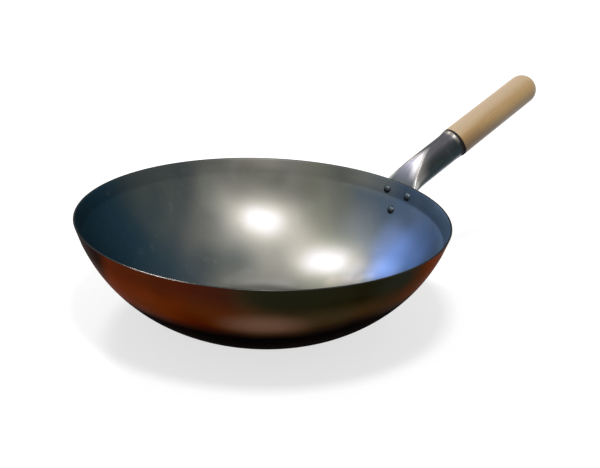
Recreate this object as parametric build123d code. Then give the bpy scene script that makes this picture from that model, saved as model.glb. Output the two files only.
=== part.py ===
from build123d import *

import os
from math import acos, asin, atan2, cos, degrees, hypot, radians, sin, sqrt

# A round carbon steel wok, 14 inches across, with a pressed steel socket riveted to it and a turned wooden grip.
#
# The bowl's axis is Z, the origin is the middle of the flat base's underside, and the handle points along +X.
# The bowl is spun from one steel sheet: a flat base, a blend, one wide arc and a slightly steeper band at the rim.
# The handle socket is one steel blank. It is rolled into a tube for the grip, with its seam underneath. Towards
# the bowl its top is pressed down between two ridges, its sides splay and its underside opens, and it ends in a
# tongue that lies on the outside of the bowl, where three rivets hold it. The grip's tenon is driven into the
# tube and is kept there by one nail. Nothing on the wok moves.

# The bowl, in millimetres and degrees
rim_radius = 178.0
bowl_depth = 104.5
bowl_sheet = 1.6
rim_band_width = 16.0
rim_band_slope = 70.5
wall_arc_radius = 153.0
base_flat_radius = 62.0
base_blend_radius = 40.0
rim_crown = 0.5

# The handle's line: it rises outwards from its root, which is under the rim's outer edge
handle_rise = 24.8
handle_root_drop = 1.2

# The steel socket. Its lengths are measured along the handle from the root. Its mouth is cut on a slant, so it is
# set back from the grip's shoulder a little at the top and more at the underside
socket_sheet = 1.5
socket_radius = 15.3
socket_length = 79.0
mouth_radius = 16.7
mouth_flare_length = 12.0
mouth_edge_round = 0.5
mouth_setback = 1.0
mouth_slant = 7.7
press_start = 47.0
press_hollow_radius = 150.0
ridge_inner_round = 1.5
splay_start = 22.0
root_reach = 4.0
pressed_rings = 10
throat_start = 29.0
throat_angle = 15.0
throat_arc_radius = 172.0
seam_width = 0.6

# Half the angles between which a ring's top and its two ridges lie where the pressing starts
tip_top_angle = 2.0
tip_ridge_angle = 3.0

# The rivets
upper_rivet_drop = 10.5
upper_rivet_spacing = 30.3
lower_rivet_drop = 28.0
rivet_shank_radius = 2.4
rivet_hole_gap = 0.08
rivet_seat_gap = 0.1
inner_head_radius = 4.4
inner_head_height = 2.7
outer_head_radius = 4.8
outer_head_height = 2.2
rivet_head_edge = 0.5

# The socket's tongue, which laps the bowl's outside from where the sheet bends, just under the rim
lap_gap = 0.05
bend_drop = 2.7
tongue_margin = 8.8
tongue_shoulder = 3.0
tongue_corner_radius = 7.0
tongue_tip_radius = 8.5
tongue_half_width = upper_rivet_spacing / 2 + tongue_margin

# The wooden grip
grip_root_radius = 16.5
grip_end_radius = 16.0
grip_length = 125.2
grip_edge_round = 0.6
shoulder_gap = 0.3
tenon_gap = 0.12
tenon_chamfer = 1.5

# The nail that keeps the grip in the socket
nail_setback = 14.0
nail_angle = 35.0
nail_shank_radius = 1.1
nail_length = 13.0
nail_point_length = 2.4
nail_head_radius = 2.7
nail_head_height = 0.8
nail_seat_gap = 0.1
nail_hole_gap = 0.05

# How far a cutting body runs past what it cuts
overrun = 12.0

handle_plane = Plane(
    origin=(rim_radius, 0, bowl_depth - handle_root_drop),
    x_dir=(0, 1, 0),
    z_dir=(cos(radians(handle_rise)), 0, sin(radians(handle_rise))),
)


def circles_crossing(centre_a, radius_a, centre_b, radius_b):
    """The crossing of two circles that lies on the left of the line from centre_a to centre_b."""
    across, up = centre_b[0] - centre_a[0], centre_b[1] - centre_a[1]
    apart = hypot(across, up)
    along = (radius_a**2 - radius_b**2 + apart**2) / (2 * apart)
    aside = sqrt(radius_a**2 - along**2)
    return (
        centre_a[0] + (along * across - aside * up) / apart,
        centre_a[1] + (along * up + aside * across) / apart,
    )


# The bowl's section, as radius and height: where the rim band meets the wall's arc, and the two arcs' centres
band_foot = (
    rim_radius - rim_band_width * cos(radians(rim_band_slope)),
    bowl_depth - rim_band_width * sin(radians(rim_band_slope)),
)
blend_centre = (base_flat_radius, base_blend_radius)
wall_centre = circles_crossing(
    blend_centre, wall_arc_radius - base_blend_radius, band_foot, wall_arc_radius
)
blend_end_angle = degrees(
    atan2(blend_centre[1] - wall_centre[1], blend_centre[0] - wall_centre[0])
)
band_normal = (sin(radians(rim_band_slope)), -cos(radians(rim_band_slope)))


def band_line_point(offset, height):
    """The point at a height on the rim band's line, moved outwards by offset."""
    foot = (band_foot[0] + offset * band_normal[0], band_foot[1] + offset * band_normal[1])
    climb = (height - foot[1]) / sin(radians(rim_band_slope))
    return (foot[0] + climb * cos(radians(rim_band_slope)), height)


def band_foot_at(offset):
    """Where the wall's arc and the rim band's line cross, once both are moved outwards by offset."""
    level = (band_foot[0] + offset * band_normal[0], band_foot[1] + offset * band_normal[1])
    along = (cos(radians(rim_band_slope)), sin(radians(rim_band_slope)))
    from_centre = (level[0] - wall_centre[0], level[1] - wall_centre[1])
    half = along[0] * from_centre[0] + along[1] * from_centre[1]
    rest = from_centre[0] ** 2 + from_centre[1] ** 2 - (wall_arc_radius + offset) ** 2
    root = sqrt(half**2 - rest)
    climb = min(-half - root, -half + root, key=abs)
    return (level[0] + climb * along[0], level[1] + climb * along[1])


def bowl_side(offset, top):
    """The bowl's outside in section, moved outwards by offset: from the axis out and up to the height top."""
    foot = band_foot_at(offset)
    foot_angle = degrees(atan2(foot[1] - wall_centre[1], foot[0] - wall_centre[0]))
    blend = CenterArc(blend_centre, base_blend_radius + offset, -90, blend_end_angle + 90)
    wall = CenterArc(wall_centre, wall_arc_radius + offset, blend_end_angle, foot_angle - blend_end_angle)
    return [
        Line((0, -offset), blend @ 0),
        blend,
        wall,
        Line(wall @ 1, band_line_point(offset, top)),
    ]


def bowl_body(offset, above_rim=0):
    """The filled body inside the bowl's outside, with that surface moved outwards by offset."""
    top = bowl_depth + above_rim
    side = bowl_side(offset, top)
    closing = Polyline(side[-1] @ 1, (0, top), side[0] @ 0)
    return revolve(Plane.XZ * make_face([*side, closing]), Axis.Z)


def wall_plane(drop, sideways):
    """A plane on the bowl's outside, that far below the rim and to the side of the handle, facing outwards."""
    height = bowl_depth - drop
    if height > band_foot[1]:
        radius = band_line_point(0, height)[0]
        facing = radians(rim_band_slope - 90)
    else:
        facing = asin((height - wall_centre[1]) / wall_arc_radius)
        radius = wall_centre[0] + wall_arc_radius * cos(facing)
    turn = asin(sideways / radius)
    return Plane(
        origin=(radius * cos(turn), radius * sin(turn), height),
        x_dir=(-sin(turn), cos(turn), 0),
        z_dir=(cos(facing) * cos(turn), cos(facing) * sin(turn), sin(facing)),
    )


rivet_planes = {
    "rivet_left": wall_plane(upper_rivet_drop, upper_rivet_spacing / 2),
    "rivet_right": wall_plane(upper_rivet_drop, -upper_rivet_spacing / 2),
    "rivet_lower": wall_plane(lower_rivet_drop, 0),
}


def rivet_holes():
    """Three pins on the rivets' axes, to bore the bowl and the tongue."""
    pin = Cylinder(rivet_shank_radius + rivet_hole_gap, 2 * overrun)
    return [plane * pin for plane in rivet_planes.values()]


def wok_bowl():
    """The spun bowl, with its cut rim rounded off."""
    edge_height = bowl_depth - rim_crown
    outer_side = bowl_side(0, edge_height)
    inner_side = bowl_side(-bowl_sheet, edge_height)
    outer_edge, inner_edge = outer_side[-1] @ 1, inner_side[-1] @ 1
    crown_point = ((outer_edge.X + inner_edge.X) / 2, bowl_depth)
    crown = ThreePointArc(outer_edge, crown_point, inner_edge)
    on_axis = Line(inner_side[0] @ 0, outer_side[0] @ 0)
    section = make_face([*outer_side, crown, *inner_side, on_axis])
    bowl = revolve(Plane.XZ * section, Axis.Z)
    for hole in rivet_holes():
        bowl -= hole
    return bowl


def beside_handle(x, z):
    """A point of the handle's upright plane, as its distance from the root and its height over the handle."""
    rise = radians(handle_rise)
    across, up = x - handle_plane.origin.X, z - handle_plane.origin.Z
    return across * cos(rise) + up * sin(rise), up * cos(rise) - across * sin(rise)


# Where the two ridges come down to the bowl
bend_height = bowl_depth - bend_drop
bend_radius = band_line_point(0, bend_height)[0]
ridge_root, ridge_root_height = beside_handle(sqrt(bend_radius**2 - tongue_half_width**2), bend_height)


def rounding_radius(run, rise):
    """The radius of the arc that leaves a straight line smoothly and has moved off it by rise after run."""
    return (run**2 + rise**2) / (2 * rise)


splay_arc_radius = rounding_radius(splay_start - ridge_root, tongue_half_width - socket_radius)
press_arc_radius = rounding_radius(press_start - ridge_root, socket_radius - ridge_root_height)


def splay_half_width(distance):
    """The tube's half width at a distance from the root. Its sides splay where it nears the bowl."""
    run = max(splay_start - distance, 0)
    return socket_radius + splay_arc_radius - sqrt(splay_arc_radius**2 - run**2)


def ridge_height(distance, inset):
    """The height of the two ridges over the handle's line, on the sheet or, with an inset, under it."""
    arc_radius = press_arc_radius - inset
    run = press_start - distance
    return socket_radius - press_arc_radius + sqrt(arc_radius**2 - run**2)


def first_ring(inset):
    """The ring where the pressing starts: a circle, in the same four stretches as the rings after it."""
    cuts = [90 - tip_ridge_angle, 90 - tip_top_angle, 90 + tip_top_angle, 90 + tip_ridge_angle]
    radius = socket_radius - inset
    stretches = [CenterArc((0, 0), radius, a, b - a) for a, b in zip(cuts, cuts[1:])]
    around = CenterArc((0, 0), radius, cuts[-1], 360 - 2 * tip_ridge_angle)
    return make_face([*stretches, around])


def pressed_ring(distance, inset):
    """A ring of the pressed part: round sides and underside, a hollow top, and two rounded ridges."""
    half_width = splay_half_width(distance) - inset
    half_height = socket_radius - inset
    height = ridge_height(distance, inset)
    ridge_half_width = half_width * sqrt(1 - (height / half_height) ** 2)
    hollow = press_hollow_radius - sqrt(press_hollow_radius**2 - ridge_half_width**2)
    ridge_angle = degrees(asin(height / half_height))
    around = EllipticalCenterArc(
        (0, 0), half_width, half_height, start_angle=180 - ridge_angle, arc_size=180 + 2 * ridge_angle
    )
    top = ThreePointArc(around @ 1, (0, height - hollow), around @ 0)
    ring = make_face([around, top])
    return fillet(ring.vertices(), ridge_inner_round + socket_sheet - inset)


def pressed_body(inset):
    """The filled body of the pressed part, drawn in by inset. Z runs along the handle and Y is up."""
    step = (press_start - ridge_root + root_reach) / (pressed_rings - 1)
    rings = [Plane(origin=(0, 0, press_start)) * first_ring(inset)]
    for n in range(1, pressed_rings):
        distance = press_start - n * step
        rings.append(Plane(origin=(0, 0, distance)) * pressed_ring(distance, inset))
    return loft(rings[::-1])


def flare_arc(inset):
    """The mouth's flare in section, drawn in by inset. It leaves the straight tube without a corner."""
    radius = rounding_radius(mouth_flare_length, mouth_radius - socket_radius)
    sweep = degrees(asin(mouth_flare_length / (radius + inset)))
    centre = (socket_radius + radius, socket_length - mouth_flare_length)
    return CenterArc(centre, radius + inset, 180, -sweep)


def mouth_plane():
    """The slanted plane of the socket's mouth, facing outwards. Z runs along the handle and Y is up."""
    lean = radians(mouth_slant)
    return Plane(
        origin=(0, mouth_radius, socket_length - mouth_setback),
        x_dir=(1, 0, 0),
        z_dir=(0, -sin(lean), cos(lean)),
    )


def straight_body(inset):
    """The filled body of the straight tube and its flared mouth, drawn in by inset."""
    flare = flare_arc(inset)
    outline = [
        Line((0, press_start), (socket_radius - inset, press_start)),
        Line((socket_radius - inset, press_start), flare @ 0),
        flare,
        Line(flare @ 1, (0, socket_length)),
        Line((0, socket_length), (0, press_start)),
    ]
    body = revolve(Plane.XZ * make_face(outline), Axis.Z)
    if inset:
        return body
    mouth = mouth_plane()
    body -= mouth * Pos(0, 0, overrun) * Box(2 * socket_length, 2 * socket_length, 2 * overrun)
    mouth_face = body.faces().sort_by(Axis(mouth.origin, mouth.z_dir))[-1]
    return fillet(mouth_face.edges(), mouth_edge_round)


def throat_body():
    """What is cut away under the handle, below an arc that climbs from the start of the seam to the bowl."""
    lean = radians(throat_angle)
    start = (throat_start, -socket_radius)
    centre = (start[0] + throat_arc_radius * sin(lean), start[1] + throat_arc_radius * cos(lean))
    before = (start[0] + overrun * cos(lean), start[1] - overrun * sin(lean))
    near = ridge_root - root_reach - overrun
    low = -socket_radius - overrun
    start_angle = -90 - throat_angle
    end_angle = -degrees(acos((near - centre[0]) / throat_arc_radius))
    arc = CenterArc(centre, throat_arc_radius, start_angle, end_angle - start_angle)
    outline = [
        Line(before, arc @ 0),
        arc,
        Polyline(arc @ 1, (near, low), (before[0], low), before),
    ]
    half_width = tongue_half_width + overrun
    return extrude(Plane.ZY * make_face(outline), half_width, both=True)


def tongue_outline():
    """The tongue seen along -X, as a face in width and height: shoulders at the upper rivets and a round tip."""
    tip = bowl_depth - lower_rivet_drop - tongue_tip_radius
    shoulder = bowl_depth - upper_rivet_drop - tongue_shoulder
    outline = Polyline(
        (-tongue_half_width, bend_height),
        (-tongue_half_width, shoulder),
        (-tongue_tip_radius, tip),
        (tongue_tip_radius, tip),
        (tongue_half_width, shoulder),
        (tongue_half_width, bend_height),
        close=True,
    )
    face = make_face(outline)
    face = fillet(face.vertices().group_by(Axis.Y)[1], tongue_corner_radius)
    return fillet(face.vertices().group_by(Axis.Y)[0], tongue_tip_radius)


def tongue():
    """The lap on the bowl's outside: a piece of a shell that follows the bowl."""
    shell = bowl_body(lap_gap + socket_sheet) - bowl_body(lap_gap, overrun)
    prism = extrude(Plane.YZ * tongue_outline(), rim_radius + overrun)
    return shell & prism


def handle_socket():
    """The whole socket: rolled tube, pressed top, open throat, tongue, seam, nail hole and rivet holes."""
    outside = pressed_body(0) + straight_body(0)
    inside = pressed_body(socket_sheet) + straight_body(socket_sheet)
    seam_length = socket_length + overrun
    seam = Pos(0, -socket_radius, seam_length / 2) * Box(seam_width, 2 * overrun, seam_length)
    sheet = handle_plane * (outside - inside - throat_body() - seam)
    span = 2 * (rim_radius + socket_length)
    sheet &= Box(span, 2 * tongue_half_width, span)
    socket = sheet - bowl_body(lap_gap, overrun) + tongue()
    for hole in rivet_holes():
        socket -= hole
    return socket - nail_plane() * Cylinder(nail_shank_radius + nail_hole_gap, 2 * overrun)


def wooden_grip():
    """The turned grip, with its tenon in the socket and a domed end."""
    shoulder = socket_length + shoulder_gap
    end = shoulder + grip_length
    dome_start = end - grip_end_radius
    tenon_end = press_start + tenon_gap
    tenon_radius = socket_radius - socket_sheet - tenon_gap
    collar = flare_arc(socket_sheet + tenon_gap)
    section = make_face(
        [
            Polyline(
                (0, tenon_end),
                (tenon_radius - tenon_chamfer, tenon_end),
                (tenon_radius, tenon_end + tenon_chamfer),
                collar @ 0,
            ),
            collar,
            Polyline(
                collar @ 1,
                ((collar @ 1).X, shoulder),
                (grip_root_radius - grip_edge_round, shoulder),
                (grip_root_radius, shoulder + grip_edge_round),
                (grip_end_radius, dome_start),
            ),
            CenterArc((0, dome_start), grip_end_radius, 0, 90),
            Line((0, end), (0, tenon_end)),
        ]
    )
    grip = handle_plane * revolve(Plane.XZ * section, Axis.Z)
    nail_hole = Cylinder(nail_shank_radius + nail_hole_gap, 2 * (nail_length + nail_hole_gap))
    return grip - nail_plane() * nail_hole


def crown_arc(radius, edge_height, top_height):
    """A round head's crown in section: from its edge, at that radius and height, to its top on the axis."""
    rise = top_height - edge_height
    crown_radius = (radius**2 + rise**2) / (2 * abs(rise))
    middle = radius / 2
    drop = crown_radius - sqrt(crown_radius**2 - middle**2)
    middle_height = top_height - drop * rise / abs(rise)
    return ThreePointArc((radius, edge_height), (middle, middle_height), (0, top_height))


def rivet():
    """One rivet on its own axis: Z=0 on the bowl's outside, one head inside the bowl, one on the tongue."""
    inner_seat = -bowl_sheet - rivet_seat_gap
    outer_seat = lap_gap + socket_sheet + rivet_seat_gap
    inner_top = inner_seat - inner_head_height
    outer_top = outer_seat + outer_head_height
    inner_edge = inner_seat - rivet_head_edge
    outer_edge = outer_seat + rivet_head_edge
    side = Polyline(
        (inner_head_radius, inner_edge),
        (inner_head_radius, inner_seat),
        (rivet_shank_radius, inner_seat),
        (rivet_shank_radius, outer_seat),
        (outer_head_radius, outer_seat),
        (outer_head_radius, outer_edge),
    )
    inner_crown = crown_arc(inner_head_radius, inner_edge, inner_top)
    outer_crown = crown_arc(outer_head_radius, outer_edge, outer_top)
    on_axis = Line((0, outer_top), (0, inner_top))
    return revolve(Plane.XZ * make_face([inner_crown, side, outer_crown, on_axis]), Axis.Z)


def nail_plane():
    """A plane on the tube's outside, beside the seam, facing away from the handle's axis."""
    away = radians(nail_angle)
    local = Plane(
        origin=(
            socket_radius * sin(away),
            -socket_radius * cos(away),
            socket_length - nail_setback,
        ),
        x_dir=(0, 0, 1),
        z_dir=(sin(away), -cos(away), 0),
    )
    return Plane(handle_plane.location * local.location)


def grip_nail():
    """The nail: a flat head on the tube, and a shank through the tube into the tenon."""
    point = -nail_length
    section = make_face(
        Polyline(
            (0, point),
            (nail_shank_radius, point + nail_point_length),
            (nail_shank_radius, nail_seat_gap),
            (nail_head_radius, nail_seat_gap),
            (nail_head_radius, nail_seat_gap + nail_head_height / 2),
            (nail_head_radius - nail_head_height / 2, nail_seat_gap + nail_head_height),
            (0, nail_seat_gap + nail_head_height),
            close=True,
        )
    )
    return nail_plane() * revolve(Plane.XZ * section, Axis.Z)


def main():
    os.makedirs("parts", exist_ok=True)
    pieces = {
        "wok_bowl": wok_bowl(),
        "handle_socket": handle_socket(),
        "wooden_grip": wooden_grip(),
        "grip_nail": grip_nail(),
    }
    for name, plane in rivet_planes.items():
        pieces[name] = plane * rivet()
    for name, piece in pieces.items():
        export_step(piece, f"parts/{name}.step")


if __name__ == "__main__":
    main()
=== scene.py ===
from bisect import bisect_right
from functools import partial, reduce
from math import asin, atan2, cos, hypot, pi, radians, sin, sqrt, tan

import bpy
from bpy.props import FloatProperty, FloatVectorProperty, IntProperty, PointerProperty
from mathutils import Matrix, Vector


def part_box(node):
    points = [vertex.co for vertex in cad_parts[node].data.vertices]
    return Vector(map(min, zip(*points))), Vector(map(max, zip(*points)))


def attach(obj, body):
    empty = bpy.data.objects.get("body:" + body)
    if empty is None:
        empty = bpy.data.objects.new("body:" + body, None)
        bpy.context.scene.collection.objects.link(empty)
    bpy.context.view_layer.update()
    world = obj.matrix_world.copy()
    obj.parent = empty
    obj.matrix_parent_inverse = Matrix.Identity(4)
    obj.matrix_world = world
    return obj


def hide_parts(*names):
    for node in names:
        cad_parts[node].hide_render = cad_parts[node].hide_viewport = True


bl_info = {
    "name": "Carbon steel wok",
    "version": (1, 0, 0),
    "blender": (4, 5, 0),
    "location": "3D View > Sidebar > Wok",
    "description": "Spins, presses and turns the pieces of a round wok on its CAD frame",
    "category": "Object",
}

# The dark blue side inside the bowl is a painted reflection, and the outside's painted reflections are laid
# out from the same bearing.
DARK_REFLECTION_SIDE = radians(141.9)  # bearing of the dark blue side of the bowl
FAR_SIDE = radians(51)  # bearing of the side away from the camera
SHEET_GAP = 0.00005  # between the bowl and the socket's sheet on it
SEAT_GAP = 0.0001  # between a rivet's head and the sheet under it
FIT_GAP = 0.00012  # between the grip and the socket round it
SAME_POINT = 1e-7  # points of a line that are nearer than this are one point
MERGE = 1e-6  # vertices of a mesh that are nearer than this are merged
WHITE = (1.0, 1.0, 1.0)

CAMERA_PLACE = (-0.622797, -0.823485, 0.483968)
CAMERA_RIGHT = Vector((0.78587829, -0.61702471, 0.04093676))
CAMERA_UP = Vector((0.19245403, 0.30695854, 0.93206111))
SENSOR_WIDTH = 36  # millimetres
LAMPS = {  # place, where it points and power
    "Key lamp": ((-0.240, -0.385, 1.333), (0.085, 0.112, 0.044), 11.5),
    "Second lamp": ((-0.108, 0.738, 1.208), (0.112, 0.024, 0.021), 8.5),
}
LAMP_WIDTH = 0.25
FLOOR_DROP = 0.0002  # how far the floor is under the base

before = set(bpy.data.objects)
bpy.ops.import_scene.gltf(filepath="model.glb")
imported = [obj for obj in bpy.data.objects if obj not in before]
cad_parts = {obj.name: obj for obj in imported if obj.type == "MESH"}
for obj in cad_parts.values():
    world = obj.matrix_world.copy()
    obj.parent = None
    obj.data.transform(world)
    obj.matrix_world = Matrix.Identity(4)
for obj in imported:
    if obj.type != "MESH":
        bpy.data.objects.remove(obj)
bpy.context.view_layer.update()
bowl_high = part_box("wok_bowl")[1]


# Sizes and colours that a user would change


def length(name, description, default):
    """A size in metres."""
    return FloatProperty(name=name, description=description, default=default, unit="LENGTH")


def angle(name, description, degrees):
    """An angle, with its default given in degrees."""
    return FloatProperty(name=name, description=description, default=radians(degrees), subtype="ANGLE")


def colour(name, description, default):
    """A colour in linear red, green and blue."""
    return FloatVectorProperty(
        name=name, description=description, default=default, subtype="COLOR", min=0, max=1
    )


class BowlSizes(bpy.types.PropertyGroup):
    """Sizes of the spun bowl."""

    rim_radius: length("Rim radius", "Outer radius of the bowl at its rim", 0.178)
    depth: length("Depth", "Height of the rim over the base", bowl_high.z)
    sheet: length("Sheet", "Thickness of the steel", 0.0016)
    band_width: length("Rim band", "Width of the straighter band under the rim", 0.016)
    band_slope: angle("Band slope", "Slope of the rim band", 70.5)
    wall_radius: length("Wall arc", "Radius of the wall's arc in section", 0.153)
    flat_radius: length("Flat base", "Radius of the flat base", 0.062)
    blend_radius: length("Base blend", "Radius of the arc from the base to the wall", 0.04)
    crown: length("Rim crown", "Height of the rounded rim edge", 0.0005)
    steps: IntProperty(name="Steps", description="Steps of the spin round the axis", default=240, min=24)


class HandleSizes(bpy.types.PropertyGroup):
    """Sizes of the socket, the grip and the nail, along the handle's line."""

    rise: angle("Rise", "Angle of the handle over the floor", 24.8)
    root_drop: length("Root drop", "How far the handle's root is under the rim", 0.0012)
    socket_radius: length("Socket radius", "Outer radius of the rolled tube", 0.0153)
    socket_sheet: length("Socket sheet", "Thickness of the socket's steel", 0.0015)
    socket_length: length("Socket length", "Length from the root to the mouth", 0.079)
    mouth_radius: length("Mouth radius", "Outer radius of the flared mouth", 0.0167)
    flare_length: length("Flare length", "Length of the flare at the mouth", 0.012)
    grip_root_radius: length("Grip root radius", "Radius of the grip at the socket", 0.0165)
    grip_end_radius: length("Grip end radius", "Radius of the grip's domed end", 0.016)
    grip_length: length("Grip length", "Length of the grip past the socket", 0.1252)
    tenon_start: length("Tenon start", "Where the grip's tenon ends inside the socket", 0.04712)
    nail_setback: length("Nail setback", "How far the nail is from the mouth", 0.014)
    nail_angle: angle("Nail angle", "How far the nail is turned from the seam", 35)


class SocketSizes(bpy.types.PropertyGroup):
    """Sizes of the socket's pressed top, open throat, slanted mouth and tongue."""

    press_start: length("Press start", "Where the pressing starts, from the root", 0.047)
    hollow_radius: length("Hollow radius", "Radius of the hollow across the pressed top", 0.15)
    ridge_radius: length("Ridge round", "Outer radius of the two ridges", 0.003)
    splay_start: length("Splay start", "Where the sides start to splay, from the root", 0.022)
    bend_drop: length("Bend drop", "How far under the rim the ridges meet the bowl", 0.0027)
    throat_start: length("Throat start", "Where the underside opens, from the root", 0.029)
    throat_angle: angle("Throat angle", "How steeply the opening starts", 15)
    throat_radius: length("Throat arc", "Radius of the opening's edge, seen from the side", 0.172)
    seam_width: length("Seam", "Gap between the rolled edges", 0.0006)
    mouth_setback: length("Mouth setback", "Gap from the mouth's top to the grip", 0.001)
    mouth_slant: angle("Mouth slant", "How far the mouth is out of square", 7.7)
    tongue_margin: length("Tongue margin", "Steel beside the upper rivets", 0.0088)
    tongue_shoulder: length("Tongue shoulder", "Steel below the upper rivets' height", 0.003)
    shoulder_round: length("Shoulder round", "Radius of the tongue's shoulders", 0.007)
    tip_round: length("Tip round", "Radius of the tongue's tip", 0.0085)
    edge_round: length("Edge round", "Rounding of the sheet's cut edges", 0.0003)


class RivetSizes(bpy.types.PropertyGroup):
    """Sizes and places of the three rivets."""

    upper_drop: length("Upper drop", "Upper rivets' distance under the rim", 0.0105)
    spacing: length("Spacing", "Distance between the upper rivets", 0.0303)
    lower_drop: length("Lower drop", "Lower rivet's distance under the rim", 0.028)
    shank_radius: length("Shank radius", "Radius of a rivet's shank", 0.0024)
    inner_radius: length("Inner head radius", "Radius of the head inside the bowl", 0.0044)
    inner_height: length("Inner head height", "Height of the head inside the bowl", 0.0027)
    outer_radius: length("Outer head radius", "Radius of the head on the tongue", 0.0048)
    outer_height: length("Outer head height", "Height of the head on the tongue", 0.0022)
    edge: length("Head edge", "Height of the straight edge of a head", 0.0005)


class WokColours(bpy.types.PropertyGroup):
    """Colours of the wok's finishes, and of the light and shade painted on them."""

    inside_warm: colour("Bowl inside", "Bare satin steel in the middle of the bowl", (0.174, 0.170, 0.149))
    # The next two colours are painted reflections inside the bowl: dark blue-green on one side, blue on the
    # other.
    inside_dark_reflection: colour("Painted dark reflection", "Dark blue-green tint on one side of the bowl", (0.013, 0.028, 0.038))
    inside_blue_reflection: colour("Painted blue reflection", "Blue heat tint on the other side of the bowl", (0.16, 0.27, 0.62))
    # The outside's red-brown and dark olive are painted reflections of its surroundings.
    outside_red_reflection: colour("Bowl outside", "Red-brown heat tint of the bowl's outside", (0.235, 0.041, 0.009))
    outside_olive_reflection: colour("Dark olive", "Dark olive tint on the bowl's outside", (0.0125, 0.013, 0.006))
    # The black underside is painted shade: the floor's shadow under the bowl, as reflected there.
    underside_shade_black: colour("Base", "Scale-black underside", (0.002, 0.0014, 0.0012))
    socket_grey: colour("Socket", "Grey steel of the tube", (0.032, 0.038, 0.040))
    # Paler pressed steel, partly a painted sheen of light on the pressed top.
    pressed_pale_sheen: colour("Pressed steel", "Paler steel where the socket was pressed", (0.15, 0.15, 0.185))
    rivet_grey: colour("Rivets", "Steel of the rivets and the nail", (0.052, 0.066, 0.080))
    wood_pale: colour("Wood", "Pale wood between the grain lines", (0.48, 0.31, 0.126))
    wood_dark: colour("Grain", "Wood in the grain lines", (0.33, 0.178, 0.058))


class StageSizes(bpy.types.PropertyGroup):
    """Sizes of the stage."""

    floor_size: length("Floor", "Width of the floor", 14.0)
    floor_colour: colour("Floor colour", "Colour of the pale floor", (0.36, 0.36, 0.36))
    world_light: FloatProperty(
        name="World light", description="Strength of the light from all around", default=0.32, min=0
    )
    lens: FloatProperty(
        name="Lens", description="Focal length of the camera in millimetres", default=69.62, unit="CAMERA"
    )


def placed(across, up, out, origin):
    """The matrix that puts a frame with these axes at this origin."""
    place = Matrix((across, up, out)).transposed().to_4x4()
    place.translation = origin
    return place


def handle_matrix():
    """The handle's frame: Z along the handle from its root, X to the left and Y up."""
    bowl, handle = bpy.context.scene.wok_bowl, bpy.context.scene.wok_handle
    along = Vector((cos(handle.rise), 0, sin(handle.rise)))
    left = Vector((0, 1, 0))
    return placed(left, along.cross(left), along, (bowl.rim_radius, 0, bowl.depth - handle.root_drop))


# Lines in section, as lists of radius and height


def arc(centre, radius, start, end, count):
    """Points on an arc, from the angle start to the angle end in radians, both ends included."""
    points = []
    for n in range(count + 1):
        turned = start + (end - start) * n / count
        points.append((centre[0] + radius * cos(turned), centre[1] + radius * sin(turned)))
    return points


def stretch(start, end, count):
    """Points on a straight line, both ends included."""
    return [
        (start[0] + (end[0] - start[0]) * n / count, start[1] + (end[1] - start[1]) * n / count)
        for n in range(count + 1)
    ]


def joined(*lines):
    """Lines joined end to end, without the points that repeat."""
    points = []
    for line in lines:
        for point in line:
            if not points or hypot(point[0] - points[-1][0], point[1] - points[-1][1]) > SAME_POINT:
                points.append(point)
    return points


def circles_crossing(centre_a, radius_a, centre_b, radius_b):
    """The crossing of two circles on the left of the line from centre_a to centre_b."""
    across, up = centre_b[0] - centre_a[0], centre_b[1] - centre_a[1]
    apart = hypot(across, up)
    along = (radius_a**2 - radius_b**2 + apart**2) / (2 * apart)
    aside = sqrt(radius_a**2 - along**2)
    return (
        centre_a[0] + (along * across - aside * up) / apart,
        centre_a[1] + (along * up + aside * across) / apart,
    )


def rounding_radius(run, rise):
    """The radius of the arc that leaves a straight line smoothly and has moved off it by rise after run."""
    return (run**2 + rise**2) / (2 * rise)


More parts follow.
